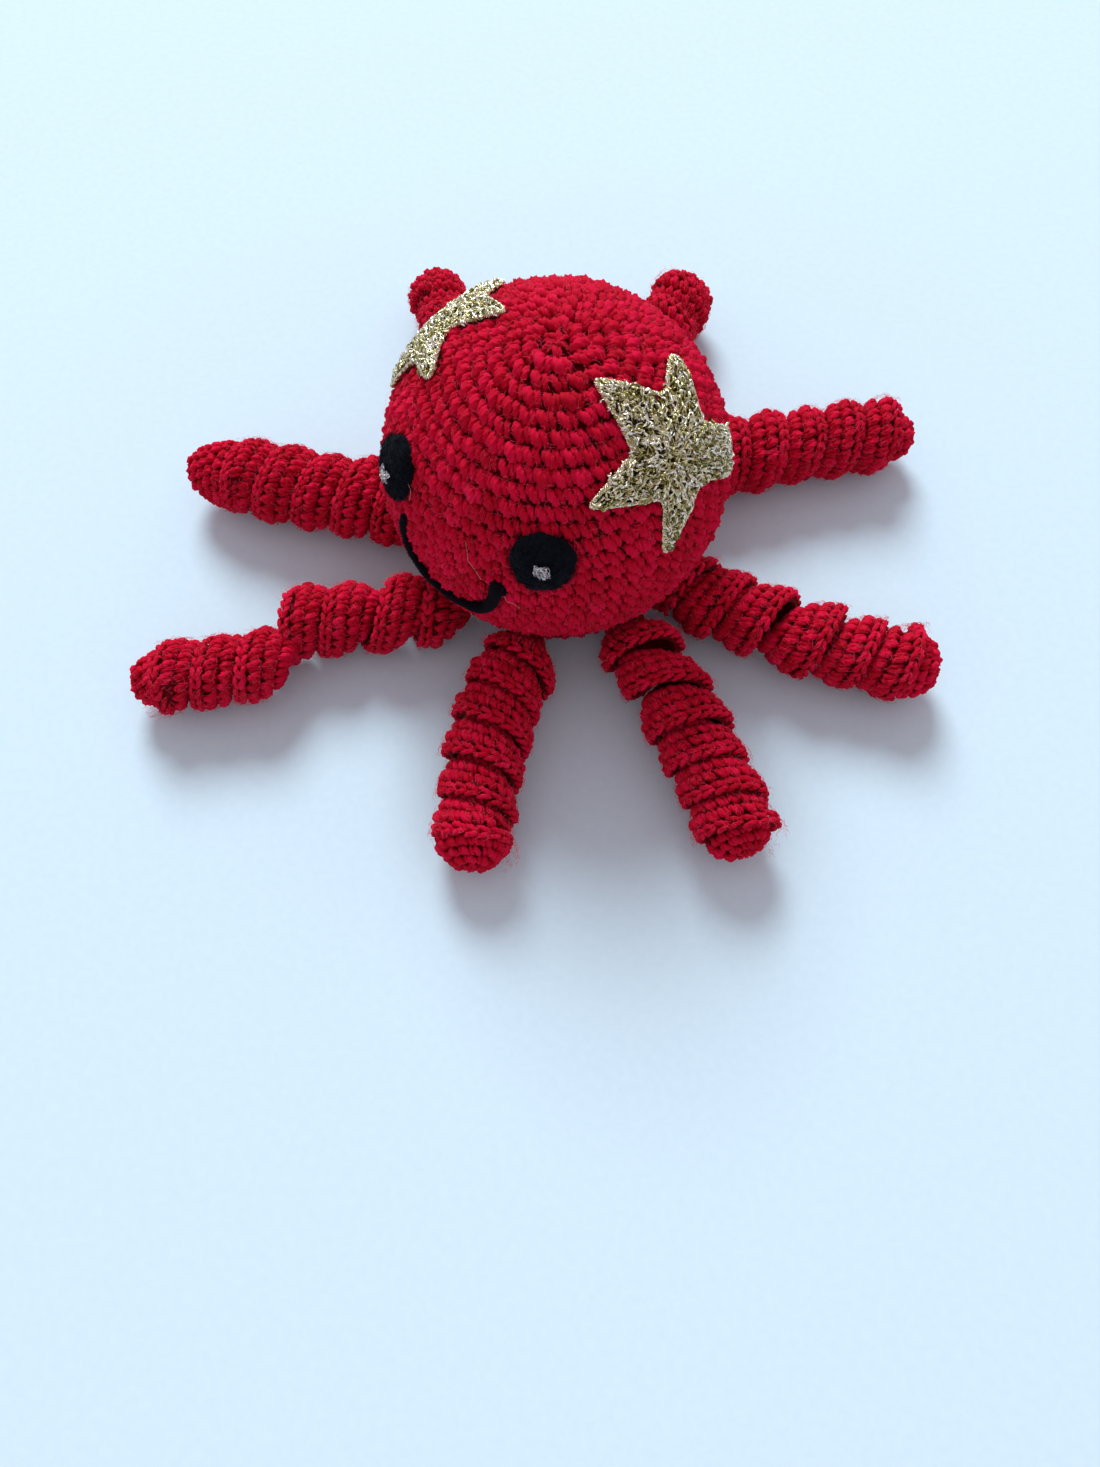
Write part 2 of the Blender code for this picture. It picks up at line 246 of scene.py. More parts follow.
def strands(paths, radii, outward, skin=0, tone=None, around=AROUND, relief=PLY_RELIEF, turn=PLY_TURN, flat=1.0):
    """Tubes along many paths at once: paths is strands x points x 3, and outward says which side is up.

    flat squashes the section to foil. Both ends close, because the radius ends at nearly nothing.
    """
    paths = np.asarray(paths, float)
    many, steps = paths.shape[:2]
    along = unit(np.gradient(paths, axis=1))
    side = unit(np.cross(np.broadcast_to(outward, paths.shape), along))
    over = np.cross(along, side)
    gaps = np.linalg.norm(np.diff(paths, axis=1), axis=-1)
    length = np.concatenate([np.zeros((many, 1)), np.cumsum(gaps, axis=1)], axis=1)
    twist = TAU * length / turn + rng.uniform(0, TAU, (many, 1))
    corner = TAU * np.arange(around) / around
    lobe = 1 + relief * np.cos(corner * around / 2)
    across = np.cos(corner) * lobe
    raised = np.sin(corner) * lobe * flat
    x = across * np.cos(twist)[..., None] - raised * np.sin(twist)[..., None]
    y = across * np.sin(twist)[..., None] + raised * np.cos(twist)[..., None]
    radii = np.broadcast_to(radii, (many, steps))[..., None, None]
    offsets = x[..., None] * side[:, :, None, :] + y[..., None] * over[:, :, None, :]
    points = paths[:, :, None, :] + radii * offsets
    if tone is None:
        tone = rng.uniform(0.25, 0.65, many)
    return grids(points, skin, tone, length / turn)


def grids(points, skin=0, tone=0.5, along=None):
    """Many sheets of quads at once, closed round their last axis: points is sheets x rings x corners x 3."""
    many, rings, around = points.shape[:3]
    if along is None:
        along = np.broadcast_to(np.arange(rings) * 1.0, (many, rings))
    start = (np.arange(many) * rings * around)[:, None, None]
    ring = np.arange(rings - 1)[None, :, None] * around
    one = np.arange(around)[None, None, :]
    two = (one + 1) % around
    quads = np.stack([start + ring + one, start + ring + two, start + ring + around + two,
                      start + ring + around + one], axis=-1)
    here = np.broadcast_to(along[:, :-1, None], quads.shape[:3])
    there = np.broadcast_to(along[:, 1:, None], quads.shape[:3])
    v = np.broadcast_to(one / around, quads.shape[:3])
    w = v + 1 / around
    uv = np.stack([here, v, here, w, there, w, there, v], axis=-1)
    tones = np.broadcast_to(np.reshape(tone, (-1, 1)), (many, rings * around))
    return {"points": points.reshape(-1, 3), "quads": quads.reshape(-1, 4), "uv": uv.reshape(-1, 2),
            "tone": tones.reshape(-1), "skin": skin}


def placed(name, data):
    """A new object in the scene."""
    made = bpy.data.objects.new(name, data)
    bpy.context.scene.collection.objects.link(made)
    return made


def piece(name, parts, materials, body, replaces=()):
    """One mesh object made of the parts, with its strand map, its tones and its materials."""
    points = np.concatenate([part["points"] for part in parts])
    starts = np.cumsum([0] + [len(part["points"]) for part in parts[:-1]])
    quads = np.concatenate([part["quads"] + start for part, start in zip(parts, starts)])
    mesh = bpy.data.meshes.new(name)
    mesh.vertices.add(len(points))
    mesh.vertices.foreach_set("co", points.astype(np.float32).ravel())
    mesh.loops.add(quads.size)
    mesh.loops.foreach_set("vertex_index", quads.astype(np.int32).ravel())
    mesh.polygons.add(len(quads))
    mesh.polygons.foreach_set("loop_start", np.arange(0, quads.size, 4, dtype=np.int32))
    skins = np.concatenate([np.full(len(part["quads"]), part["skin"]) for part in parts])
    mesh.polygons.foreach_set("material_index", skins.astype(np.int32))
    strand_map = mesh.uv_layers.new(name="strand")
    strand_map.data.foreach_set("uv", np.concatenate([part["uv"] for part in parts]).astype(np.float32).ravel())
    tones = mesh.attributes.new("tone", "FLOAT", "POINT")
    tones.data.foreach_set("value", np.concatenate([part["tone"] for part in parts]).astype(np.float32))
    for skin in materials:
        mesh.materials.append(skin)
    mesh.update(calc_edges=True)
    mesh.shade_smooth()
    made = placed(name, mesh)
    if body:
        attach(made, body)
    if replaces:
        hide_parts(*replaces)
    print(f"{name}: {len(quads)} quads")
    return made


# %% [markdown]
# ## The single crochet stitch
#
# Seen from outside, one single crochet is two short pieces of yarn that come out of the same hole and lean over: a
# big one in front and a small one beside it. Under them is the hole that the next round's stitch comes out of. The
# two paths below say that in shares of a stitch: across, towards the start of the work, and out of the fabric in mm.
#
# A stitch is 4.0 mm wide and 3.9 mm high, the usual size for sport-weight yarn, and 64 of them go round the head.

# %% The stitch
STITCH_WIDTH = 4.0 * MM
STITCH_HEIGHT = 3.9 * MM
LEG_STEPS = 9
BIG_LEG = ((-0.36, 0.46, -1.0), (-0.25, 0.32, 0.15), (-0.08, 0.06, 0.72), (0.10, -0.22, 0.42),
           (0.22, -0.52, -1.1))
SMALL_LEG = ((0.08, 0.50, -0.9), (0.21, 0.38, 0.05), (0.35, 0.14, 0.44), (0.46, -0.12, 0.12),
             (0.52, -0.42, -1.0))
BIG_LEG_RADIUS = 1.16 * MM
SMALL_LEG_RADIUS = 0.90 * MM
LEG_SWELL = np.array([0.03, 0.72, 0.92, 1.0, 1.0, 1.0, 0.92, 0.72, 0.03])
SHIFT_SPREAD = 0.045     # how unevenly stitches are made by hand: their place, in shares of a stitch,
RADIUS_SPREAD = 0.08     # the thickness of their yarn, as a share of it,
LIFT_SPREAD = 0.14 * MM  # and how far they stand out


def through(points, steps):
    """Points along a smooth curve through a few given ones (Catmull-Rom), as an array."""
    points = np.asarray(points, float)
    ends = np.concatenate([[2 * points[0] - points[1]], points, [2 * points[-1] - points[-2]]])
    place = np.linspace(0, len(points) - 1 - 1e-9, steps)
    span = place.astype(int)
    t = (place - span)[:, None]
    a, b, c, d = (ends[span + i] for i in range(4))
    return (2 * b + (c - a) * t + (2 * a - 5 * b + 4 * c - d) * t ** 2 + (3 * b - a - 3 * c + d) * t ** 3) / 2


LEGS = tuple((through(leg, LEG_STEPS), radius) for leg, radius in
             ((BIG_LEG, BIG_LEG_RADIUS), (SMALL_LEG, SMALL_LEG_RADIUS)))


def stitch_legs(place_on, count, width, height, legs=LEGS, unevenness=1.0):
    """Both legs of many stitches. place_on(stitch, x, y, z) gives points and outward for offsets in metres."""
    parts = []
    stitch = np.arange(count)[:, None]
    wobble = rng.normal(0, SHIFT_SPREAD * unevenness, (count, 2))
    fat = 1 + rng.normal(0, RADIUS_SPREAD * unevenness, count)
    lift = rng.normal(0, LIFT_SPREAD * unevenness, count)
    tone = rng.uniform(0.3, 0.62, count)
    for shape, radius in legs:
        x = (shape[None, :, 0] + wobble[:, :1]) * np.reshape(width, (-1, 1))
        y = (shape[None, :, 1] + wobble[:, 1:]) * np.reshape(height, (-1, 1))
        z = shape[None, :, 2] * MM + lift[:, None]
        thin = np.minimum(1.0, np.reshape(width, (-1, 1)) / STITCH_WIDTH)
        paths, outward = place_on(stitch, x, y, z)
        radii = radius * LEG_SWELL[None, :] * fat[:, None] * thin
        parts.append(strands(paths, radii, outward, tone=tone + rng.normal(0, 0.04, count)))
    return parts


# %% [markdown]
# ## Loose fibres
#
# Fibres a millimetre or two long stand off wool yarn and make a soft halo against the light. A hair system would look
# right, but it can't follow a bending arm, so each fibre is a real strand of three sides.

# %% Fibres
FIBRE_STEPS = 5


def fibres(roots, outward, length, radius, skin=0, curl=0.8, tone=None):
    """Short curly fibres that leave the surface at the given roots."""
    count = len(roots)
    side = unit(np.cross(outward, rng.normal(size=(count, 3))))
    other = np.cross(outward, side)
    lengths = length * rng.uniform(0.5, 1.3, (count, 1, 1))
    t = np.linspace(0, 1, FIBRE_STEPS)[None, :, None]
    swirl = curl * rng.uniform(0.4, 2.2, (count, 1, 1)) * t
    start = rng.uniform(0.5, 1.2, (count, 1, 1))
    lean = start + swirl
    ahead = outward[:, None, :] * np.cos(lean) + side[:, None, :] * np.sin(lean)
    wave = 0.35 * np.sin(3 * t * rng.uniform(0.3, 1.0, (count, 1, 1)))
    paths = roots[:, None, :] + lengths * t * ahead + other[:, None, :] * lengths * wave
    radii = radius * np.array([1.0, 1.0, 0.9, 0.7, 0.15])
    return strands(paths, radii, other[:, None, :], skin, tone, around=3, relief=0.0, turn=1.0)


# %% [markdown]
# ## The head
#
# The cover is worked in a spiral from the crown down. So the stitches sit in rings, each ring sinks by half a stitch
# on its way round, and the next one starts a little further on. A ring holds as many stitches as fit. Between the
# stitches the inner side of the fabric shows, so a plain shell lies under them, in the red wool darkened to deep
# dark red as painted shade for the gaps.

# %% Head
YARN_BED = HEAD_RADIUS - 1.55 * MM     # the sphere that the strands lie on
ROUND_SHIFT = -0.13                    # how far each round starts beside the one before, in stitches
SPIRAL_DROP = 0.5 * STITCH_HEIGHT      # how far a ring sinks on its way round
RIM_HEIGHT = 3.5 * MM                  # the head's lower edge, where the base closes it
RIM_ANGLE = math.acos((RIM_HEIGHT - HEAD_CENTRE[2]) / HEAD_RADIUS)


def on_ball(turn, down, x, y, z):
    """Points over the head: x to the right and y towards the crown of a place at turn and down, z outward."""
    out = np.stack([np.sin(down) * np.cos(turn), np.sin(down) * np.sin(turn), np.cos(down)], axis=-1)
    right = np.stack([-np.sin(turn), np.cos(turn), 0 * turn], axis=-1)
    toward_crown = np.cross(out, right)
    away = unit(out * YARN_BED + right * x[..., None] + toward_crown * y[..., None])
    return HEAD_CENTRE + away * (YARN_BED + z[..., None]), away


def ring(number, radius, place, width=STITCH_WIDTH, fewest=6):
    """One round of stitches: the turn of each, the round's place for each, and the width of each."""
    count = max(fewest, round(TAU * radius / width))
    turns = TAU * (np.arange(count) + ROUND_SHIFT * number) / count
    return turns, np.full(count, place), np.full(count, TAU * radius / count)


def joined(rings):
    """The turns, the places and the widths of many rings, end to end."""
    return [np.concatenate(values) for values in zip(*rings)]


def head_stitches(first, last):
    """The stitches of some rounds. A round's place is its angle from the crown."""
    middles = [(number + 0.5) * STITCH_HEIGHT / HEAD_RADIUS for number in range(first, last)]
    turns, downs, widths = joined([ring(number, HEAD_RADIUS * math.sin(down), down)
                                   for number, down in enumerate(middles, start=first)])
    downs = downs + (turns % TAU - math.pi) / TAU * SPIRAL_DROP / HEAD_RADIUS

    def place_on(stitch, x, y, z):
        return on_ball(turns[stitch] + 0 * x, downs[stitch] + 0 * x, x, y, z)

    return stitch_legs(place_on, len(turns), widths, STITCH_HEIGHT)


def ball_shell(radius, last_angle, around, skin=0, lump=0.0):
    """A ball round the head's centre, from the crown down to an angle, and closed there."""
    angles = np.concatenate([np.linspace(1e-4, last_angle, 30), [last_angle]])
    turns = TAU * np.arange(around) / around
    out = np.stack([np.sin(angles)[:, None] * np.cos(turns), np.sin(angles)[:, None] * np.sin(turns),
                    np.cos(angles)[:, None] + 0 * turns], axis=-1)
    bumps = 1 + lump * np.sin(5 * turns + 9 * angles[:, None]) * np.sin(7 * angles[:, None])
    points = HEAD_CENTRE + out * (radius * bumps)[..., None]
    points[-1, :, :2] *= 0.01
    return grids(points[None], skin)


ROUNDS = int(RIM_ANGLE * HEAD_RADIUS / STITCH_HEIGHT)
UPPER_ROUNDS = 12
MIDDLE_ROUNDS = 20
# the plain shell under the head's stitches, in the inner wool's painted shade
shell = ball_shell(YARN_BED - 0.9 * MM, RIM_ANGLE - 0.05, 64, skin=1)


def scattered(count, low_angle, high_angle):
    """Directions spread evenly over a belt of the head between two angles from the crown."""
    height = rng.uniform(math.cos(high_angle), math.cos(low_angle), count)
    turn = rng.uniform(0, TAU, count)
    flat = np.sqrt(1 - height ** 2)
    return np.stack([flat * np.cos(turn), flat * np.sin(turn), height], axis=-1)


FUZZ_RADIUS = 0.032 * MM
FUZZ_LENGTH = 1.6 * MM
FUZZ_START = HEAD_RADIUS - 0.5 * MM
FUZZ_SPLIT = 1.2             # angle from the crown where one piece of fuzz ends and the other starts
FUZZ_FIBRES = 4600           # in each piece
WOOL = (RED_WOOL, SHADED_INNER_WOOL, RED_FUZZ)
head_top = piece("head_upper_rounds", head_stitches(0, UPPER_ROUNDS) + [shell], WOOL, "head",
                 ("head_cover",))
piece("head_middle_rounds", head_stitches(UPPER_ROUNDS, MIDDLE_ROUNDS), WOOL, "head",
      ("head_cover",))
piece("head_lower_rounds", head_stitches(MIDDLE_ROUNDS, ROUNDS), WOOL, "head", ("head_cover",))
for name, low_angle, high_angle in (("upper", 0.0, FUZZ_SPLIT), ("lower", FUZZ_SPLIT, RIM_ANGLE)):
    out = scattered(FUZZ_FIBRES, low_angle, high_angle)
    fuzz = fibres(HEAD_CENTRE + out * FUZZ_START, out, FUZZ_LENGTH, FUZZ_RADIUS, skin=2)
    piece(f"head_{name}_fuzz", [fuzz], WOOL, "head")

filling = ball_shell(YARN_BED - 2.4 * MM, RIM_ANGLE - 0.1, 48, lump=0.006)
filling_piece = piece("fibre_filling", [filling], (FILL,), "head", ("head_stuffing",))

# %% [markdown]
# ## The base
#
# Underneath, a flat round closes the head. It is worked from its middle out in the same stitch, and its last rounds
# turn up round the head, where they hold the arms.

# %% Base
BASE_BED = 2.28 * MM         # height of the strands' bed, so that the lowest yarn just touches the table
COLLAR_RADIUS = 30.5 * MM    # how far out the rounds that turn up reach
COLLAR_SLOPE = 0.8
BACKING = (1.6 * MM, 3.4 * MM)    # the lower and upper side of the plain round under the stitches


def collar_height(reach):
    return COLLAR_SLOPE * np.maximum(reach - BASE_RADIUS + 1.5 * MM, 0.0)


BASE_ROUNDS = int(COLLAR_RADIUS / STITCH_HEIGHT)
base_middles = [(number + 0.5) * COLLAR_RADIUS / BASE_ROUNDS for number in range(BASE_ROUNDS)]
base_turns, base_reaches, base_widths = joined([ring(number, reach, reach)
                                                for number, reach in enumerate(base_middles)])


def on_base(stitch, x, y, z):
    """Points under the base; y runs towards its middle and z downward."""
    turn = base_turns[stitch] + 0 * x
    out = np.stack([np.cos(turn), np.sin(turn), 0 * turn], axis=-1)
    right = np.stack([np.sin(turn), -np.cos(turn), 0 * turn], axis=-1)
    reach = base_reaches[stitch] - y
    flat = out * reach[..., None] + right * x[..., None]
    flat[..., 2] = BASE_BED - z + collar_height(reach)
    slope = COLLAR_SLOPE * (reach > BASE_RADIUS)
    outward = unit(out * slope[..., None] - UP)
    return flat, outward


def backing():
    """The plain closed round that lies under the base's stitches, with a rim turned up as they are. Its inner wool is
    painted shade for the gaps between them.
    """
    low, high = BACKING
    turns = TAU * np.arange(64) / 64
    circle = np.stack([np.cos(turns), np.sin(turns), 0 * turns], axis=-1)
    flat = BASE_RADIUS - 0.6 * MM
    rim = COLLAR_RADIUS - 0.8 * MM
    rise = float(collar_height(rim))
    levels = ((1e-5, low), (flat, low), (rim, low + rise), (rim, high + rise), (flat, high), (1e-5, high))
    return grids(np.stack([circle * reach + UP * level for reach, level in levels])[None], skin=1)


base_parts = stitch_legs(on_base, len(base_turns), base_widths, STITCH_HEIGHT, unevenness=0.6)
piece("base_rounds", base_parts + [backing()], WOOL, "head", ("base_disc",))

# %% [markdown]
# ## The eyes
#
# Each eye is a round pad of black wool, felted with a needle until it is firm. It is thick in the middle, its edge
# is uneven, and short black fibres lie over it in all directions.

# %% Eyes
EYE_RADIUS = 7.1 * MM
EYE_THICKNESS = 2.4 * MM
EYE_WAVES = 0.05          # how uneven an eye's edge is
EYE_FIBRES = 1500


def around_place(toward, reach, bearing, height):
    """Points over the head: an arc length away from a direction, at a bearing from the crown, and a height."""
    north = unit(UP - toward * toward[2])
    east = np.cross(north, toward)
    side = north * np.cos(bearing)[..., None] + east * np.sin(bearing)[..., None]
    angle = (reach / HEAD_RADIUS)[..., None]
    out = toward * np.cos(angle) + side * np.sin(angle)
    return HEAD_CENTRE + out * (HEAD_RADIUS + height)[..., None], out


def wavy(bearing, amount, seed):
    """An uneven edge: a few waves of different lengths round a circle."""
    return 1 + amount * (np.sin(3 * bearing + seed) + 0.7 * np.sin(5 * bearing + 2.1 * seed)
                         + 0.5 * np.sin(9 * bearing + 3.7 * seed)) / 2


def pad_height(share):
    """The height of a felt pad at a share of its radius: flat in the middle and steep at the edge."""
    return EYE_THICKNESS * np.sqrt(np.maximum(0.0, 1 - share ** 3.2))


def eye(side, azimuth, elevation, seed):
    toward = direction(azimuth, elevation)
    rings, around = 22, 72
    share = np.concatenate([np.linspace(0.001, 1.0, rings), [0.9, 0.001]])[:, None]
    bearing = (TAU * np.arange(around) / around)[None, :] + 0 * share
    reach = EYE_RADIUS * share * wavy(bearing, EYE_WAVES, seed)
    dome = pad_height(share) + 0.1 * MM
    dome[-2:] = -0.8 * MM
    swirls = np.sin(reach * 4200 + 3 * np.sin(4 * bearing + seed)) * np.sin(7 * bearing + 900 * reach)
    points, _ = around_place(toward, reach, bearing, dome + 0.09 * MM * swirls)
    spread = EYE_RADIUS * 0.99 * np.sqrt(rng.uniform(0, 1, EYE_FIBRES))
    turn = rng.uniform(0, TAU, EYE_FIBRES)
    height = pad_height(spread / EYE_RADIUS)
    roots, out = around_place(toward, spread * wavy(turn, EYE_WAVES, seed), turn, height)
    hair = fibres(roots, out, 1.7 * MM, 0.05 * MM, curl=1.2, tone=rng.uniform(0.2, 1.0, EYE_FIBRES))
    made = piece(f"felt_eye_{side}", [grids(points[None]), hair], (FELT,), "head",
                 (f"eye_{side}",))


eye("left", -121.0, 24.2, 1.3)
eye("right", -57.0, 23.0, 4.0)

# %% [markdown]
# ## The glint in each eye
#
# A bit of silver foil thread is sewn into each eye and knotted, so it curls up in a small tangle.

# %% Glints
GLINT_LEVEL = 3.0 * MM    # height of the knot's middle over the head
GLINT_RADIUS = 0.24 * MM


def glint(side, azimuth, elevation):
    toward = direction(azimuth, elevation)
    count, steps = 4, 26
    t = np.linspace(0, TAU, steps)[None, :]
    phase = rng.uniform(0, TAU, (count, 4))
    east = 1.15 * MM * (np.sin(2 * t + phase[:, :1]) + 0.5 * np.sin(3 * t + phase[:, 1:2]))
    north = 1.0 * MM * (np.cos(2 * t + phase[:, 2:3]) + 0.5 * np.sin(5 * t + phase[:, 3:]))
    height = GLINT_LEVEL + 0.4 * MM * np.sin(3 * t + phase[:, :1])
    paths, out = around_place(toward, np.hypot(east, north), np.arctan2(east, north), height)
    radii = GLINT_RADIUS * np.append(np.ones(steps - 1), 0.1)
    foil = strands(paths, radii, out, around=6, relief=0.0, turn=1.9 * MM, flat=0.3)
    piece(f"silver_glint_{side}", [foil], (SILVER_FOIL,), "head", (f"eye_glint_{side}",))


glint("left", -119.6, 22.3)
glint("right", -57.0, 22.2)

# %% [markdown]
# ## The smile
#
# One thick black yarn is sewn on in a curve. It is thin where it starts under the left eye and gets thicker towards
# the right, with a small tick near its right end.

# %% Smile
# Azimuth and elevation of places along the yarn, in degrees, as seen from the head's centre.
SMILE_ROUTE = ((-110, 14), (-109.5, 5), (-104, -3), (-94, -7.5), (-84, -7), (-75.5, -3), (-72, 5), (-71, 12))
SMILE_TICK = ((-72.0, 9.5), (-69.8, 9.0), (-68.0, 8.0))
SMILE_FIBRES = 420


def sewn_line(route, start_radius, end_radius, steps):
    """A yarn sewn on the head, as a strand, its path and its outward directions."""
    places = through([direction(*place) for place in route], steps)
    out = unit(places)
    share = np.linspace(0, 1, steps)
    radii = start_radius + (end_radius - start_radius) * smoothstep(share * 1.6 - 0.5)
    radii = radii * (1 + 0.10 * np.sin(share * 31) * np.sin(share * 12))
    paths = HEAD_CENTRE + out * (HEAD_RADIUS + 0.35 * radii - 0.1 * MM)[:, None]
    radii[[0, -1]] *= 0.05
    return strands(paths[None], radii[None], out[None], around=12, relief=0.14, turn=5 * MM), paths, out


line, smile_paths, smile_out = sewn_line(SMILE_ROUTE, 0.85 * MM, 1.45 * MM, 110)
tick, _, _ = sewn_line(SMILE_TICK, 0.8 * MM, 0.8 * MM, 16)
picks = rng.integers(2, len(smile_paths) - 2, SMILE_FIBRES)
scatter = unit(rng.normal(size=(SMILE_FIBRES, 3)) + smile_out[picks])
smile_hair = fibres(smile_paths[picks] + scatter * 0.8 * MM, scatter, 1.2 * MM, 0.035 * MM)
piece("smile", [line, tick, smile_hair], (BLACK_WOOL,), "head", ("smile_yarn",))

# %% [markdown]
# ## The stars
#
# A star is crocheted from its middle out, short rows that get narrower make each point, and slip stitches run round
# the edge. The yarn is flat gold foil on a dark core. It glitters so much that the eye sees short loops of foil in all
# directions, so that is what is drawn, over a dark pad and inside a twisted border. The pad has the core's colour,
# darkened further as painted shade in the gaps between the loops. The real foil is 0.2 mm wide; drawn 0.6 mm wide, it
# still shows.

# %% Stars
STAR_HEIGHT = 1.0 * MM
STAR_PLACES = {"right": (-2.0, 42.0), "left": (-178.0, 42.0)}    # azimuth and elevation on the head
# Each tip is (bearing from the crown, reach in mm, width in mm), and each notch (bearing, reach in mm).
STAR_TIPS = {"right": ((-7, 22.0, 2.0), (53.5, 22.3, 3.4), (124, 24.3, 9.5), (210, 20.1, 1.8), (279, 20.2, 1.8)),
             "left": ((-2, 20.1, 2.0), (61, 20.6, 1.8), (125, 18.8, 2.0), (197, 20.0, 2.0), (298, 15.5, 2.0))}
STAR_NOTCHES = {"right": ((33.5, 13.2), (90, 13.1), (158, 10.9), (232, 9.2), (314, 9.8)),
                "left": ((35.5, 10.8), (83, 13.5), (160, 11.0), (240, 11.0), (331, 11.5))}
LOOP_GAP = 1.2 * MM       # from one little loop of foil to the next
LOOP_LENGTH = 2.7 * MM
FOILS = 3                 # strands of foil in one loop
FOIL_RADIUS = 0.31 * MM
ROPE_RADIUS = 0.27 * MM   # of each strand in the border
ROPE_TURN = 1.7 * MM      # length in which the border's strands go once round each other


def flat_place(bearing, reach):
    """East and north on the star's flat plan, in metres."""
    return np.array([math.sin(math.radians(bearing)), math.cos(math.radians(bearing))]) * reach


def star_outline(side):
    """The outline on the flat plan: each point of the star has a blunt tip as wide as its third number says."""
    places = []
    for number, (bearing, reach, width) in enumerate(STAR_TIPS[side]):
        before, after = (flat_place(notch, far * MM) for notch, far in
                         (STAR_NOTCHES[side][number - 1], STAR_NOTCHES[side][number]))
        across = flat_place(bearing + 90, width / 2 * MM)
        tip = flat_place(bearing, (reach - 0.4) * MM)
        first, last = tip - across, tip + across
        places += [before, (before + first) / 2, first, last, (last + after) / 2]
    return through(places + places[:1], 700)


def inside(outline, places):
    """Which places lie inside an outline: a ray from each crosses it an odd number of times."""
    east, north = places[:, 0, None], places[:, 1, None]
    one, two = outline[None, :-1], outline[None, 1:]
    spans = (one[..., 1] > north) != (two[..., 1] > north)
    rise = np.where(spans, two[..., 1] - one[..., 1], 1.0)
    crossing = one[..., 0] + (north - one[..., 1]) / rise * (two[..., 0] - one[..., 0])
    return (spans & (east < crossing)).sum(axis=1) % 2 == 1


def star(side):
    toward = direction(*STAR_PLACES[side])
    outline = star_outline(side)

    def place(plan, height):
        east, north = plan[..., 0], plan[..., 1]
        return around_place(toward, np.hypot(east, north), np.arctan2(east, north), height)

    # the dark pad: the core's colour, darkened as painted shade between the loops
    share = np.array([0.02, 0.3, 0.6, 0.85, 0.96, 0.96, 0.02])[:, None]
    levels = np.array([0.45, 0.5, 0.5, 0.45, 0.2, -0.9, -0.9])[:, None] * MM
    plan = outline[None, ::4] * share[..., None]
    pad, _ = place(plan, levels + 0 * plan[..., 0])
    parts = [grids(pad[None], skin=1)]

    # the loops of foil
    reach = np.arange(-26 * MM, 26 * MM, LOOP_GAP)
    spots = np.stack(np.meshgrid(reach, reach), axis=-1).reshape(-1, 2)
    spots = spots + rng.uniform(-0.5, 0.5, spots.shape) * LOOP_GAP
    spots = spots[inside(outline * 0.95, spots)]
    spots = np.repeat(spots, FOILS, axis=0) + rng.normal(0, 0.22 * MM, (len(spots) * FOILS, 2))
    count = len(spots)
    steps = 10
    t = np.linspace(0, 1, steps)[None]
    bearing = np.arctan2(spots[:, :1], spots[:, 1:]) + rng.normal(0, 0.75, (count, 1))
    bow = rng.uniform(-0.8, 0.8, (count, 1)) * MM
    along = np.stack([np.sin(bearing), np.cos(bearing)], axis=-1)
    across = np.stack([np.cos(bearing), -np.sin(bearing)], axis=-1)
    long = LOOP_LENGTH * rng.uniform(0.75, 1.15, (count, 1))
    plan = spots[:, None] + along * ((t - 0.5) * long)[..., None]
    plan = plan + across * (bow * np.sin(math.pi * t))[..., None]
    height = STAR_HEIGHT * (0.15 + np.sin(math.pi * t) ** 0.7 * rng.uniform(0.4, 1.6, (count, 1)))
    paths, outward = place(plan, height)
    radii = FOIL_RADIUS * np.append(np.append(0.2, np.ones(steps - 2)), 0.1)
    # each loop's random tone paints a brighter glint on some loops and a darker one on others
    parts.append(strands(paths, radii, outward, tone=rng.uniform(-0.1, 1.15, count), around=6, relief=0.0,
                         turn=2.6 * MM, flat=0.35))

    # the twisted border
    gaps = np.linalg.norm(np.diff(outline, axis=0), axis=1)
    run = np.concatenate([[0.0], np.cumsum(gaps)])
    inward = unit(np.gradient(outline, axis=0)) @ np.array([[0.0, -1.0], [1.0, 0.0]])
    phase = TAU * run / ROPE_TURN + np.array([0.0, TAU / 3, TAU * 2 / 3])[:, None]
    plan = outline + inward * ((0.35 + 0.33 * np.cos(phase)) * MM)[..., None]
    paths, outward = place(plan, (0.55 + 0.42 * np.sin(phase)) * MM)
    radii = ROPE_RADIUS * np.append(np.ones(len(run) - 1), 0.1)
    parts.append(strands(paths, radii, outward, tone=np.array([0.3, 0.6, 0.9]), around=5, relief=0.0,
                         turn=2.0 * MM, flat=0.45))
    piece(f"gold_star_{side}", parts, (GOLD_FOIL, GOLD_CORE_AND_SHADE), "head", (f"star_{side}",))


star("right")
star("left")

# %% [markdown]
# ## The arms
#
# Each arm is a crocheted strip that has curled into a left-handed corkscrew, because too many stitches were worked
# into each chain. Its edge nearer the head is tucked under the turn before, and its outer edge stands free, as a
# ribbed chain that overhangs the next turn. So a point of an arm is given by how far it is along the strip, how far
# across it, and how high above it.

# %% Arm measures
GAP = 0.3 * MM              # the toy rests this far above the table
STRIP_START = -8.0 * MM     # where the middle of the strip starts, before the arm's lift joint
OVERHANG = 2.6 * MM         # how much wider the strip is than one turn is long
TUCK = 5.5 * MM             # how deep the inner edge goes under the turn before
TIP_OVERLAP = 2.5 * MM      # how far the strip's last turn stands over the closed tip
TIP_ROW = 2.9 * MM          # height of the tip's stitches
SPLIT_PLACE = 5.0 * MM      # the middle of the first turn, which no joint bends
KINK_PLACE = 37.0 * MM
KINK_LENGTH = 6.0 * MM
STRAND_BED = 1.6 * MM       # how far under an arm's outer surface the strands' bed is
TURN_STEPS = 200            # steps in which the length of the winding strip is measured


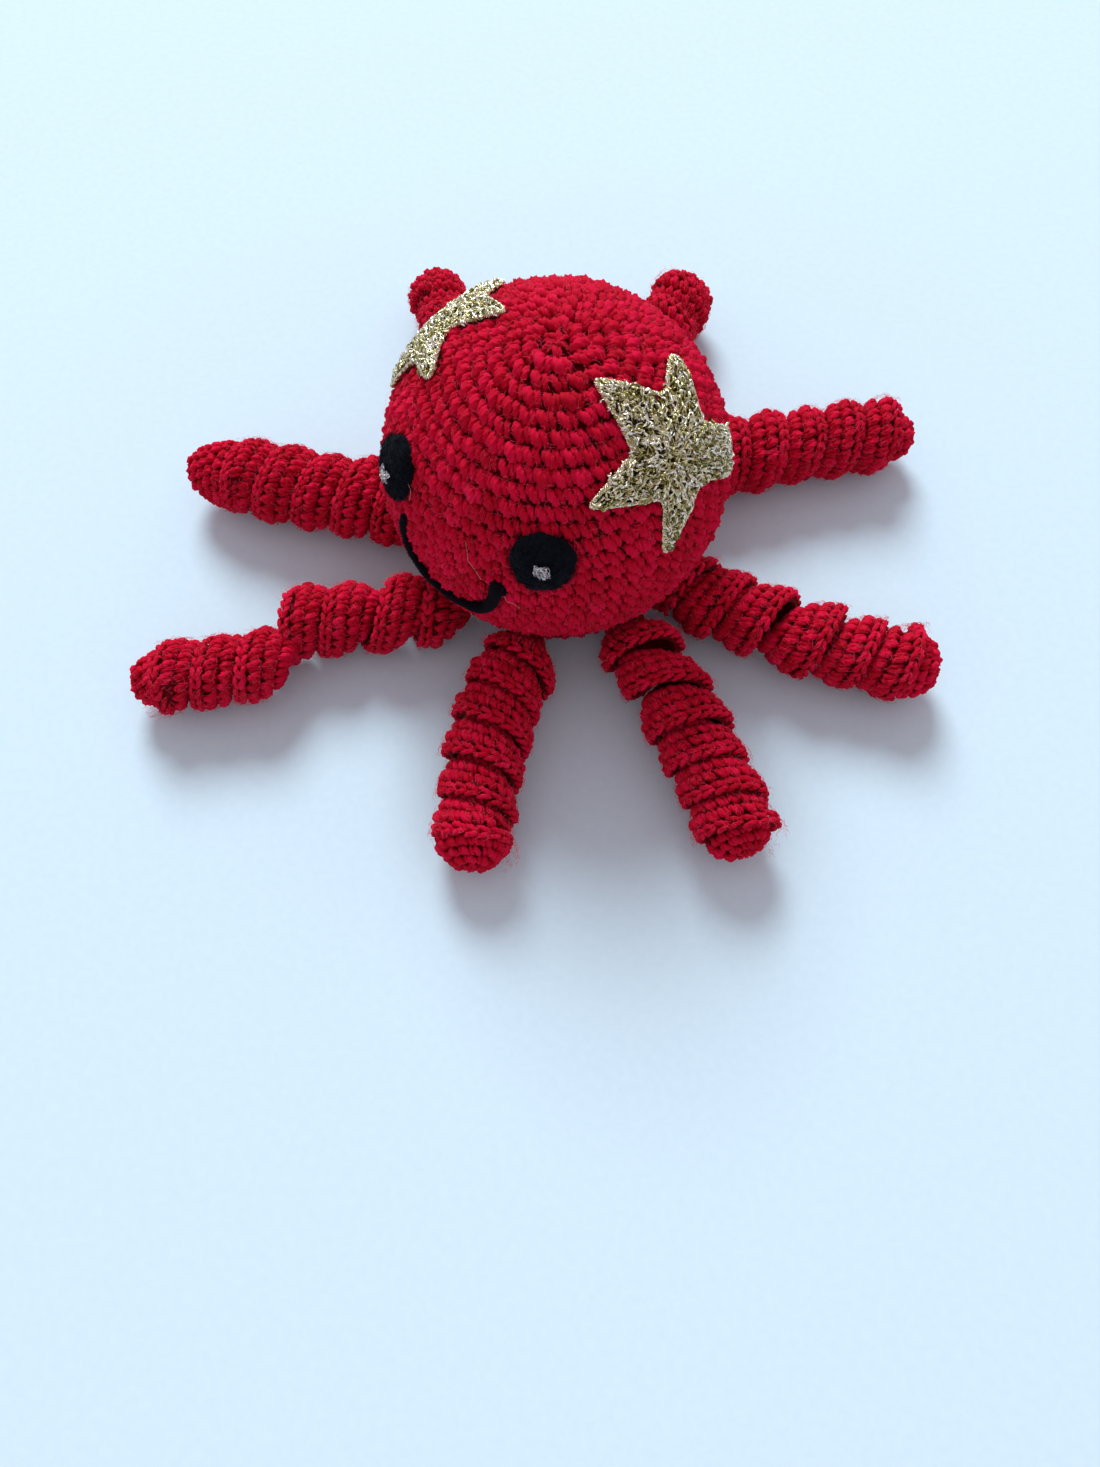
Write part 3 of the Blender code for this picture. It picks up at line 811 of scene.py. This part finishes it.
class Arm:
    """One arm's corkscrew, laid along the same centre line as the CAD arm."""

    def __init__(self, number, bend, length, radius, pitch, tip, edge=0.4, taper=0.06, kink=0.0,
                 opening=(0.0, 0.0)):
        lift = JOINTS[f"arm_{number}_lift"]
        self.number = number
        self.start = np.array(lift["pos_m"][:2])
        self.heading = math.atan2(lift["axis"][0], -lift["axis"][1])
        self.bend = math.radians(bend)
        self.length = length * MM
        self.radius = radius * MM
        self.taper = taper
        self.edge = edge * MM             # how far the free edge stands off, or curls down
        self.kink = kink * MM
        self.opening = opening
        self.tip_length = tip[0] * MM
        self.tip_radius = tip[1] * float(self.outer_radius(self.length - self.tip_length))
        self.strip_end = self.length - self.tip_length + TIP_OVERLAP
        travel = self.strip_end - STRIP_START - OVERHANG / 2
        self.turns = (travel - opening[1] * MM) / (pitch * MM)
        self.pitch = pitch * MM
        self.width = self.pitch + OVERHANG
        fine = np.linspace(0, self.turns, TURN_STEPS)
        reach = np.maximum(self.outer_radius(self.middle(fine)), 3 * MM)
        steps = np.diff(fine) * TAU * (reach[1:] + reach[:-1]) / 2
        self.fine = fine
        self.strip_length = np.concatenate([[0.0], np.cumsum(steps)])

    def middle(self, turn):
        """Where along the arm the middle of the strip is, after some turns."""
        return STRIP_START + self.pitch * turn + self.opening[1] * MM * smoothstep((turn - self.opening[0]) / 0.8)

    def outer_radius(self, along):
        """The radius over the turns: small at the root and full past the head."""
        return np.interp(along, [-14 * MM, 0.0, 5 * MM, self.length],
                         [5.0 * MM, 0.94 * self.radius, self.radius, self.radius * (1 - self.taper)])

    def centre(self, along, strip_middle=None):
        """The middle of the arm and the direction to its left, at places along it. It bends as a circle does."""
        ahead = np.maximum(along, 0)
        rate = self.bend / self.length
        if rate:
            here = self.heading + rate * ahead
            x = (np.sin(here) - math.sin(self.heading)) / rate
            y = (math.cos(self.heading) - np.cos(here)) / rate
        else:
            here = self.heading + 0 * ahead
            x = ahead * math.cos(self.heading)
            y = ahead * math.sin(self.heading)
        back = np.minimum(along, 0)
        left = np.stack([-np.sin(here), np.cos(here), 0 * here], axis=-1)
        pushed = along if strip_middle is None else strip_middle
        push = self.kink * smoothstep((pushed - KINK_PLACE) / KINK_LENGTH + 0.5)
        middle = np.stack([self.start[0] + x + back * math.cos(self.heading),
                           self.start[1] + y + back * math.sin(self.heading), 0 * x], axis=-1)
        return middle + left * np.broadcast_to(push, x.shape)[..., None], left

    def point(self, turn, across, height):
        """Points on the strip: turns from its start, metres across towards the tip, metres above its bed."""
        along = self.middle(turn) + across
        share = np.clip(across / self.width + 0.5, 0, 1)
        profile = -TUCK * (1 - share) ** 2.6 + self.edge * smoothstep((share - 0.6) / 0.4)
        wobble = 0.3 * MM * np.sin(2.3 * turn + self.number) + 0.2 * MM * np.sin(5.1 * turn + 2 * self.number)
        outer = self.outer_radius(along)
        reach = np.maximum(outer - STRAND_BED + profile + wobble, 0.4 * MM) + height
        angle = -TAU / 4 + TAU * (self.turns - turn)
        middle, left = self.centre(along, self.middle(turn))
        out = left * np.cos(angle)[..., None] + UP * np.sin(angle)[..., None]
        points = middle + UP * (GAP + outer)[..., None] + out * reach[..., None]
        return points, out

    def along_to_world(self, along):
        """A point on the arm's level centre line, 10 mm up."""
        middle, _ = self.centre(np.array([float(along)]))
        return Vector(middle[0] + UP * 10 * MM)


ARMS = (
    Arm(1, 24, 66, 10.6, 10.8, (9, 0.88), edge=0.3, taper=0.04, opening=(2.2, 3.6)),
    Arm(2, -8, 67, 11.6, 10.6, (8.5, 0.68), edge=-1.8, taper=0.08),
    Arm(3, 0, 57, 10.6, 10.0, (8, 0.95), edge=-0.8),
    Arm(4, 2, 58, 9.8, 10.0, (8, 0.95), edge=-0.8),
    Arm(5, -8, 63, 12.0, 10.7, (16, 0.86), edge=-1.2, taper=0.10),
    Arm(6, 0, 77, 10.4, 10.6, (10, 0.80), edge=-0.8, kink=11, opening=(1.2, 3.8)),
    Arm(7, 28, 56, 11.0, 9.4, (8, 0.92), edge=0.4, taper=0.10),
    Arm(8, -16, 61, 10.8, 9.4, (7, 0.82), edge=0.4, opening=(1.3, 4.4)),
)
for arm in ARMS:
    print(f"arm {arm.number}: {arm.turns:.1f} turns, a strip {arm.strip_length[-1] * 1000:.0f} mm long")

# %% [markdown]
# ## The strips' stitches
#
# A strip is three rows of single crochet and a chain along its free edge. The chain is the row that everything was
# worked into: two slanted loops for each stitch, which lie along the edge like a plait. At the tip, rounds of
# stitches close the arm, and the strip's last turn overlaps them.
#
# An arm has two joints in the frame, so each arm is two pieces that meet in the middle of its first turn, which no
# joint bends.

# %% Arms
CHAIN_INNER = ((-0.70, 0.40, -0.9), (-0.32, 0.34, 0.30), (0.05, 0.24, 0.60), (0.42, 0.12, 0.40),
               (0.78, 0.04, -0.8))
CHAIN_OUTER = ((-0.70, -0.38, -1.1), (-0.32, -0.34, 0.0), (0.05, -0.24, 0.35), (0.42, -0.12, 0.2),
               (0.78, -0.04, -0.9))
CHAIN_LEGS = ((through(CHAIN_INNER, LEG_STEPS), 0.80 * MM), (through(CHAIN_OUTER, LEG_STEPS), 0.78 * MM))
ARM_LEGS = tuple((shape, radius * 0.84) for shape, radius in LEGS)
ARM_STITCH = 3.4 * MM      # the arms are worked tighter than the head
CHAIN_HEIGHT = 3.0 * MM
CHAIN_PLACE = 1.5 * MM     # from the strip's free edge to the middle of its chain
ARM_ROWS = 3
EGG_END = 1.9              # angle from the tip's end to where its rounds stop, out of sight
ARM_FIBRES = 45            # loose fibres for each millimetre of an arm


def arm_stitches(arm, low, high):
    """All rows of stitches of the strip between two places along the arm."""
    count = int(arm.strip_length[-1] / ARM_STITCH)
    places = (np.arange(count) + 0.5) * arm.strip_length[-1] / count
    turns = np.interp(places, arm.strip_length, arm.fine)
    turns = turns[(arm.middle(turns) >= low) & (arm.middle(turns) < high)]
    middle = arm.middle(turns)
    edge = arm.width / 2
    chain = np.minimum(edge, arm.strip_end - middle) - CHAIN_PLACE
    row_height = (arm.width - 2 * CHAIN_PLACE) / ARM_ROWS
    rows = [(turns, chain, 0.3, CHAIN_HEIGHT, CHAIN_LEGS)]
    for number in range(ARM_ROWS):
        across = -edge + (number + 0.5) * row_height
        fits = chain - across > 0.62 * row_height
        rows.append((turns[fits], np.full(fits.sum(), across), ROUND_SHIFT * number, row_height, ARM_LEGS))
    parts = []
    for turn, across, shift, height, legs in rows:
        reach = np.maximum(arm.outer_radius(arm.middle(turn) + across), 2.5 * MM)
        step = ARM_STITCH * np.clip(reach / arm.radius, 0.35, 1.0)

        def place_on(stitch, x, y, z):
            moved = (x + shift * ARM_STITCH) / (TAU * reach[stitch])
            points, out = arm.point(turn[stitch] + moved, across[stitch] - y, z)
            points[..., 2] = np.maximum(points[..., 2], 1.0 * MM)
            return points, out

        parts += stitch_legs(place_on, len(turn), step, height, legs=legs)
    return parts


def arm_band(arm, low, high):
    """The inner side of the strip: a thin closed band under the stitches, in inner wool painted dark as the shade
    between them.
    """
    first, last = np.interp([low, high], arm.middle(arm.fine), arm.fine)
    rings = max(8, int((last - first) * 36))
    turn = np.linspace(first, last, rings)[:, None]
    share = np.concatenate([np.linspace(0, 1, 9), np.linspace(1, 0, 9)])[None]
    edge = arm.width / 2 - 0.6 * MM
    free = np.minimum(edge, arm.strip_end - 1.0 * MM - arm.middle(turn))
    across = -edge + share * (free + edge)
    height = np.concatenate([np.full(9, -0.75 * MM), np.full(9, -2.1 * MM)])[None] + 0 * across
    points, _ = arm.point(turn + 0 * across, across, height)
    points[0] = points[0].mean(axis=0)
    points[-1] = points[-1].mean(axis=0)
    points[..., 2] = np.maximum(points[..., 2], 0.4 * MM)
    return grids(points[None], skin=1)


def closed_tip(arm):
    """The arm's closed end: rounds of stitches on half an egg, which the strip's last turn overlaps."""
    long, wide = arm.tip_length, arm.tip_radius
    middle, left = arm.centre(np.array([arm.length - long]))
    left = left[0]
    axis = np.cross(left, UP)
    centre = middle[0] + UP * (GAP + (wide + float(arm.outer_radius(arm.length - long))) / 2)
    angles = np.linspace(0.0, EGG_END, 120)
    rises = np.hypot(long * np.sin(angles), wide * np.cos(angles))
    run = np.concatenate([[0.0], np.cumsum((rises[1:] + rises[:-1]) / 2 * np.diff(angles))])

    def on_egg(down, turn, height):
        around = left * np.cos(turn)[..., None] + UP * np.sin(turn)[..., None]
        ahead = np.cos(down)[..., None]
        beside = np.sin(down)[..., None]
        away = unit(axis * ahead / long + around * beside / wide)
        bed = STRAND_BED - height
        points = centre + axis * ahead * long + around * beside * wide - away * bed[..., None]
        points[..., 2] = np.maximum(points[..., 2], 0.9 * MM)
        return points, away

    middles = np.arange(0.55 * TIP_ROW, run[-1] - TIP_ROW / 2, TIP_ROW)
    turns, places, widths = joined([
        ring(number, wide * math.sin(np.interp(place, run, angles)), place, ARM_STITCH, fewest=5)
        for number, place in enumerate(middles)])
    rounds = wide * np.sin(np.interp(places, run, angles))

    def place_on(stitch, x, y, z):
        down = np.interp(np.maximum(places[stitch] - y, 0.1 * MM), run, angles)
        return on_egg(down, turns[stitch] + x / rounds[stitch], z)

    # a shell under the tip's stitches, in the inner wool's painted shade
    down = np.append(np.linspace(0.001, EGG_END, 14), EGG_END)[:, None]
    spin = np.linspace(0, TAU, 24, endpoint=False)[None] + 0 * down
    shell, _ = on_egg(down + 0 * spin, spin, np.full(spin.shape, -0.6 * MM))
    shell[-1] = shell[-1].mean(axis=0)
    return stitch_legs(place_on, len(turns), widths, TIP_ROW, legs=ARM_LEGS) + [grids(shell[None], skin=1)]


def arm_fuzz(arm, low, high):
    """Loose fibres on the strip between two places along the arm."""
    count = int((min(high, arm.strip_end) - low) * 1000 * ARM_FIBRES)
    first, last = np.interp([low, high], arm.middle(arm.fine), arm.fine)
    turn = rng.uniform(first, last, count)
    across = rng.uniform(-arm.width / 2 + 3 * MM, arm.width / 2, count)
    roots, out = arm.point(turn, across, np.full(count, 1.4 * MM))
    keep = roots[:, 2] > 2 * MM
    return fibres(roots[keep], out[keep], 1.5 * MM, FUZZ_RADIUS, skin=2)


def build_arm(arm):
    """The two pieces of an arm, which meet in the middle of its first turn."""
    name = f"arm_{arm.number}"
    spans = {"first_turn": (STRIP_START - 1 * MM, SPLIT_PLACE, ("root", "turn")),
             "coil": (SPLIT_PLACE, arm.length, ("coil",))}
    made = []
    for part, (low, high, solids) in spans.items():
        parts = arm_stitches(arm, low, high) + [arm_band(arm, low, high), arm_fuzz(arm, low, high)]
        if part == "coil":
            parts += closed_tip(arm)
        replaced = [f"{name}_{solid}" for solid in solids]
        made.append(piece(f"{name}_{part}", parts, WOOL, None, replaced))
    inner, outer = made
    half = arm.width / 2
    arm.along_to_world(STRIP_START - half)
    arm.along_to_world(SPLIT_PLACE - half)
    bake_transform(inner)
    arm.along_to_world(SPLIT_PLACE + half)
    arm.along_to_world(SPLIT_PLACE + half + 6 * MM)
    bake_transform(outer)


for arm in ARMS:
    build_arm(arm)

# %% [markdown]
# ## A few long hairs
#
# Here and there a longer pale hair, caught in the work, lies over the yarn in a curve.

# %% Long hairs
HAIR_COUNT = 11
HAIR_RADIUS = 0.028 * MM
FACE_HAIRS = ((-63.0, 4.0), (-80.0, -12.0), (-120.0, 24.0), (-75.0, 12.0))    # azimuth and elevation of the first


def long_hairs():
    count = HAIR_COUNT
    out = scattered(count, 0.15, 2.0)
    out[:len(FACE_HAIRS)] = direction(*np.array(FACE_HAIRS).T)
    steps = 16
    t = np.linspace(-0.5, 0.5, steps)[None, :]
    bearing = rng.uniform(0, TAU, (count, 1))
    bow = rng.uniform(-2.2, 2.2, (count, 1))
    long = rng.uniform(5, 11, (count, 1)) * MM
    turn = bearing + bow * t
    step = long / (steps - 1)
    east = np.cumsum(np.cos(turn) * step, axis=1)
    north = np.cumsum(np.sin(turn) * step, axis=1)
    side = unit(np.cross(UP, out))[:, None, :]
    up = np.cross(out[:, None, :], side)
    away = unit(out[:, None, :] * HEAD_RADIUS + side * east[..., None] + up * north[..., None])
    lift = 0.55 * MM + 0.5 * MM * np.cos(TAU * t) ** 2
    paths = HEAD_CENTRE + away * (HEAD_RADIUS + lift)[..., None]
    radii = HAIR_RADIUS * np.append(np.ones(steps - 1), 0.2)
    return strands(paths, radii, away, around=4, relief=0.0, turn=1.0)


piece("loose_hairs", [long_hairs()], (PALE_HAIR,), "head")

# %% [markdown]
# ## Floor, light and camera
#
# The toy stands on a smooth pale surface by a large window. A wide soft light comes from behind it, a pale sky fills
# the rest, and the shadows fall softly towards the viewer. The plain view transform keeps the red as it was picked.

# %% Floor
def floor_material():
    """Smooth pale blue card, with a faint grain of 2 mm."""
    made, tree = new_material("matt_pale_blue_card")
    place = add(tree, "TexCoord", {"output": "Object"})
    grain = add(tree, "TexNoise", Vector=place, Scale=480.0, Detail=3.0)
    colour = add(tree, "ValToRGB", {"stops": ((0.3, "#D0EFFC"), (0.7, "#D4F2FE"))}, Fac=grain)
    bump = add(tree, "Bump", Height=grain, Strength=0.05, Distance=0.0003)
    dress(tree, colour, bump, Roughness=0.9, Specular_IOR_Level=MATT_SPECULAR)
    return made


FLOOR_SIZE = 3.0           # metres from the toy to the floor's edge
floor_mesh = bpy.data.meshes.new("floor")
corners = [(FLOOR_SIZE * x, FLOOR_SIZE * y, 0) for x, y in ((-1, -1), (1, -1), (1, 1), (-1, 1))]
floor_mesh.from_pydata(corners, [], [(0, 1, 2, 3)])
floor_mesh.materials.append(floor_material())
placed("floor", floor_mesh)

# %% Light
VIEW_AZIMUTH = 37.5        # degrees round the toy, from which it is seen
WINDOW_PLACE = Vector((-0.8, 3.9, 3.4))    # behind the toy, before the turn round it
WINDOW_SIZE = 2.4
WINDOW_POWER = 255.0       # watts
turned = Matrix.Rotation(math.radians(VIEW_AZIMUTH), 4, "Z")
light = bpy.data.lights.new("window", "AREA")
light.shape = "DISK"
light.size = WINDOW_SIZE
light.energy = WINDOW_POWER
light.color = linear("#F4FAFF")[:3]
window = placed("window", light)
window.location = turned @ WINDOW_PLACE
window.rotation_mode = "QUATERNION"
window.rotation_quaternion = (window.location - Vector(HEAD_CENTRE)).to_track_quat("Z", "Y")
world = bpy.data.worlds.new("pale_room")
bpy.context.scene.world = world
world.use_nodes = True
sky = world.node_tree.nodes["Background"]
sky.inputs["Color"].default_value = linear("#FFEAF0")
sky.inputs["Strength"].default_value = 0.58
bpy.context.scene.view_settings.view_transform = "Standard"

# %% Camera
CAMERA_PLACE = Vector((-0.00142, -0.16188, 0.25483))   # seen along +Y, before the turn round the toy
CAMERA_TILT = 66.82        # degrees down
LENS = 27.04               # mm, on a frame 36 mm high
camera_data = bpy.data.cameras.new("camera")
camera_data.lens = LENS
camera_data.sensor_width = 36.0
camera_data.clip_start = 0.01
camera = placed("camera", camera_data)
camera.location = turned @ CAMERA_PLACE
camera.rotation_euler = (math.radians(90 - CAMERA_TILT), 0.0, math.radians(VIEW_AZIMUTH))
bpy.context.scene.camera = camera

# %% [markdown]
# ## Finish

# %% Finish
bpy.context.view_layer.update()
